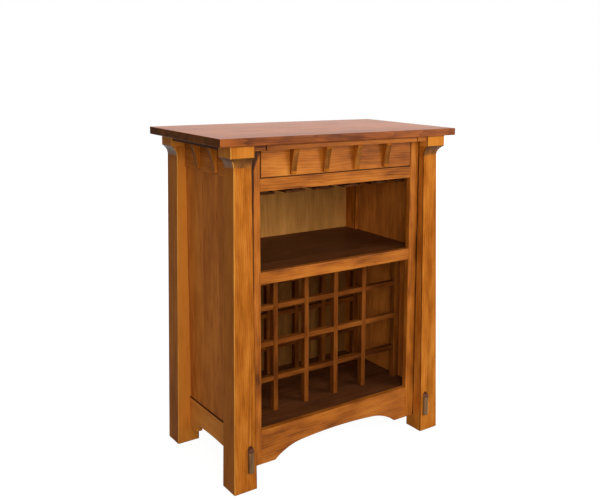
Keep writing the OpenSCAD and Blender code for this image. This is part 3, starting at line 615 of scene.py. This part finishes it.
# Painted shade in the gaps on the edges of the drawer face and of the strip
rim_shade = wood("drawer_face", PAINTED_GAP_SHADE, "X", seed=91, name="drawer_face_rim")
eased("drawer_face", wood("drawer_face", AMBER, "X", seed=91, lacquer=FACE_LACQUER),
      others=[(rim_shade, lambda normal: abs(normal.x) > EDGE_TURN or abs(normal.z) > EDGE_TURN)])
rim_shade = wood("drawer_strip", PAINTED_GAP_SHADE, "X", seed=92, name="drawer_strip_rim")
eased("drawer_strip", wood("drawer_strip", AMBER, "X", seed=92, lacquer=FACE_LACQUER),
      others=[(rim_shade, lambda normal: abs(normal.x) > EDGE_TURN)])
for seed, (node, along) in enumerate(BOX_GRAIN.items()):
    ends = wood(node, MAPLE_ENDS, along, seed=seed + 101, gloss=RAW_GLOSS, name=node + "_ends")
    line = "XYZ".index(along)
    eased(node, wood(node, PLAIN, along, seed=seed + 94, gloss=BOX_GLOSS, figured=RAW_FIGURE), ease=BOX_EASE,
          others=[(ends, lambda normal: abs(normal[line]) > ENDS_FROM)])
eased("drawer_bottom", wood("drawer_bottom", PLAIN, "X", seed=98, gloss=RAW_GLOSS, figured=BOTTOM_FIGURE),
      ease=BOX_EASE)
for seed, node in enumerate(("drawer_guide_left", "drawer_guide_right")):
    eased(node, wood(node, PLAIN, "Y", seed=seed + 99, gloss=RAW_GLOSS, figured=RAW_FIGURE))

# Drawer slides.
# Three nested channels of zinc-plated sheet steel run on each side of the drawer.
# The outer one is screwed to the guide board and the inner one to the drawer side.
SHEET_EASE = 0.00025
ZINC = [(0.0, (0.50, 0.51, 0.53)), (0.5, (0.62, 0.63, 0.65)), (1.0, (0.72, 0.73, 0.75))]
ZINC_ROUGHNESS = 0.32
DRAWN_SCALE = (900, 12, 900)
DRAWN_SHARE = 0.7
DRAWN_SHEEN = 0.2
CRYSTAL_SCALE = 180
CRYSTAL_SHARE = 0.25


def zinc(name):
    """Zinc-plated steel, drawn from front to back, with a faint crystal pattern."""
    def sockets_of(graph):
        place = graph.node("ShaderNodeTexCoord", {}, {}, output="Object")
        drawn = graph.node("ShaderNodeMapping", {}, {"Vector": place, "Scale": DRAWN_SCALE})
        lines = graph.node("ShaderNodeTexNoise", {}, {"Vector": drawn, "Scale": 1, "Detail": 2})
        crystals = graph.node("ShaderNodeTexVoronoi", {}, {"Vector": place, "Scale": CRYSTAL_SCALE},
                              output="Color")
        tint = graph.node("ShaderNodeSeparateColor", {}, {0: crystals})
        shade = 0.5 + (lines - 0.5) * DRAWN_SHARE + (tint - 0.5) * CRYSTAL_SHARE
        return {"Base Color": graph.node("ShaderNodeValToRGB", {"stops": ZINC}, {0: shade}),
                "Roughness": ZINC_ROUGHNESS + (lines - 0.5) * DRAWN_SHEEN, "Metallic": 1.0}
    return material(name, sockets_of)


for side in ("left", "right"):
    for member in ("outer", "middle", "inner"):
        node = f"slide_{member}_{side}"
        eased(node, zinc(node), ease=SHEET_EASE)

# Screws.
# Zinc-plated pan-head screws with a cross recess hold the rack, the slides, the drawer face and the top.
# Each is drawn where the CAD has it, from one pattern with a core, a head and a rolled thread.
SCREW_CORE = 0.0015
SCREW_CREST = 0.00195
HEAD_RADIUS = 0.004
HEAD_HEIGHT = 0.0018
THREAD_PITCH = 0.0018
THREAD_STEPS = 12
RIDGE_SIDES = 3
TIP_LENGTH = 0.003
SCREW_SIZES = {"Core Radius": SCREW_CORE, "Crest Radius": SCREW_CREST, "Head Radius": HEAD_RADIUS,
               "Head Height": HEAD_HEIGHT, "Thread Pitch": THREAD_PITCH, "Tip Length": TIP_LENGTH}
REACH_DECIMALS = 4
TIP_BLUNT = 0.2
HEAD_SIDES = 24
SHANK_SIDES = 12
FLANGE_SHARE = 0.5
DOME_SHARE = 0.7
DOME_TOP = 0.62
DOME_FOOT = 0.93
RECESS_WIDTH = 0.24
SHANK_LAP = 0.3
TIP_LAP = 0.1


def screw_pattern(steel):
    """A geometry group that stands a screw on every point, turned by the point's attribute facing."""
    tree = bpy.data.node_groups.new("pan_head_screws", "GeometryNodeTree")
    tree.interface.new_socket("Geometry", in_out="INPUT", socket_type="NodeSocketGeometry")
    for label in ("Reach", *SCREW_SIZES):
        tree.interface.new_socket(label, in_out="INPUT", socket_type="NodeSocketFloat")
    tree.interface.new_socket("Geometry", in_out="OUTPUT", socket_type="NodeSocketGeometry")
    graph = Graph(tree)
    given = graph.node("NodeGroupInput", {}, {}).siblings()
    points, reach, core, crest, head, height, pitch, tip = given[:len(SCREW_SIZES) + 2]

    def raised(solid, z):
        lift = graph.node("ShaderNodeCombineXYZ", {}, {2: z})
        return graph.node("GeometryNodeTransform", {}, {"Geometry": solid, "Translation": lift})

    def cone(low, high, length, z, sides=HEAD_SIDES):
        solid = graph.node("GeometryNodeMeshCone", {}, {
            "Vertices": sides, "Radius Bottom": low, "Radius Top": high, "Depth": length})
        return raised(solid, z)

    def bar(long, wide):
        size = graph.node("ShaderNodeCombineXYZ", {}, {0: long, 1: wide, 2: height})
        return raised(graph.node("GeometryNodeMeshCube", {}, {"Size": size}), height * -1)

    def joined(solids):
        join = graph.node("GeometryNodeJoinGeometry", {}, {})
        for solid in reversed(solids):
            graph.feed(join.socket.node.inputs[0], solid)
        return join

    flange = cone(head, head, height * FLANGE_SHARE, height * -FLANGE_SHARE)
    dome = cone(head * DOME_TOP, head * DOME_FOOT, height * DOME_SHARE, height * -1)
    shank = cone(core, core, reach - tip + height * SHANK_LAP, height * -SHANK_LAP, sides=SHANK_SIDES)
    point = cone(core, core * TIP_BLUNT, tip + height * TIP_LAP, reach - tip - height * TIP_LAP,
                 sides=SHANK_SIDES)
    solid = graph.node("GeometryNodeMeshBoolean", {"operation": "UNION"}, {
        "Mesh 2": joined([flange, dome, shank, point])})
    recess = joined([bar(head, head * RECESS_WIDTH), bar(head * RECESS_WIDTH, head)])
    body = graph.node("GeometryNodeMeshBoolean", {"operation": "DIFFERENCE"}, {
        "Mesh 1": solid, "Mesh 2": recess})
    turns = (reach - tip) / pitch
    helix = graph.node("GeometryNodeCurveSpiral", {}, {
        "Resolution": THREAD_STEPS, "Rotations": turns, "Start Radius": core, "End Radius": core,
        "Height": reach - tip})
    ridge = graph.node("GeometryNodeCurvePrimitiveCircle", {}, {
        "Resolution": RIDGE_SIDES, "Radius": crest - core})
    thread = graph.node("GeometryNodeCurveToMesh", {}, {
        "Curve": helix, "Profile Curve": ridge, "Fill Caps": True})
    facing = graph.node("GeometryNodeInputNamedAttribute", {"data_type": "FLOAT_VECTOR"}, {"Name": "facing"})
    turn = graph.node("FunctionNodeEulerToRotation", {}, {0: facing})
    placed = graph.node("GeometryNodeInstanceOnPoints", {}, {
        "Points": points, "Instance": joined([body, thread]), "Rotation": turn})
    real = graph.node("GeometryNodeRealizeInstances", {}, {"Geometry": placed})
    done = graph.node("GeometryNodeSetMaterial", {}, {"Geometry": real, "Material": steel})
    graph.node("NodeGroupOutput", {}, {0: done})
    return tree


def screw_islands(node):
    """Head place, direction and reach of every screw of a CAD node."""
    shape = bmesh.new()
    shape.from_mesh(frame["nodes"][node].data)
    bmesh.ops.remove_doubles(shape, verts=shape.verts, dist=SAME_SPOT)
    found = []
    for group in touching(shape.edges):
        island = [corner.co.copy() for edge in group for corner in edge.verts]
        low = Vector([min(spot[k] for spot in island) for k in range(3)])
        high = Vector([max(spot[k] for spot in island) for k in range(3)])
        axis = max(range(3), key=lambda k: high[k] - low[k])
        middle = (low + high) / 2
        length = high[axis] - low[axis]
        at_low = [spot for spot in island if spot[axis] < low[axis] + HEAD_HEIGHT / 2]
        at_high = [spot for spot in island if spot[axis] > high[axis] - HEAD_HEIGHT / 2]
        wide_low = max((spot - middle).length for spot in at_low)
        wide_high = max((spot - middle).length for spot in at_high)
        direction = Vector((0, 0, 0))
        direction[axis] = 1 if wide_low > wide_high else -1
        under_head = middle - direction * (length / 2 - HEAD_HEIGHT)
        found.append((under_head, direction, round(length - HEAD_HEIGHT, REACH_DECIMALS)))
    shape.free()
    return found


steel = zinc("screw_steel")
pattern = screw_pattern(steel)
identifier = {item.name: item.identifier for item in pattern.interface.items_tree if item.in_out == "INPUT"}
for node in ("rack_screws", "guide_screws", "top_screws", "drawer_screws"):
    screws = screw_islands(node)
    whole = bmesh.new()
    for reach in sorted({length for _, _, length in screws}):
        alike = [(spot, direction) for spot, direction, length in screws if length == reach]
        points = bpy.data.meshes.new(node + "_points")
        points.from_pydata([spot for spot, _ in alike], [], [])
        facing = points.attributes.new("facing", "FLOAT_VECTOR", "POINT")
        for at_point, (_, direction) in zip(facing.data, alike):
            at_point.vector = Vector(UPWARD).rotation_difference(direction).to_euler()
        carrier = bpy.data.objects.new(node + "_points", points)
        bpy.context.scene.collection.objects.link(carrier)
        modifier = carrier.modifiers.new("screws", "NODES")
        modifier.node_group = pattern
        for label, value in {"Reach": reach, **SCREW_SIZES}.items():
            modifier[identifier[label]] = value
        evaluated = carrier.evaluated_get(bpy.context.evaluated_depsgraph_get())
        realised = bpy.data.meshes.new_from_object(evaluated)
        whole.from_mesh(realised)
        bpy.data.objects.remove(carrier)
    mesh = bpy.data.meshes.new(node + "_look")
    whole.to_mesh(mesh)
    whole.free()
    mesh.materials.append(steel)
    place_piece(node, mesh)
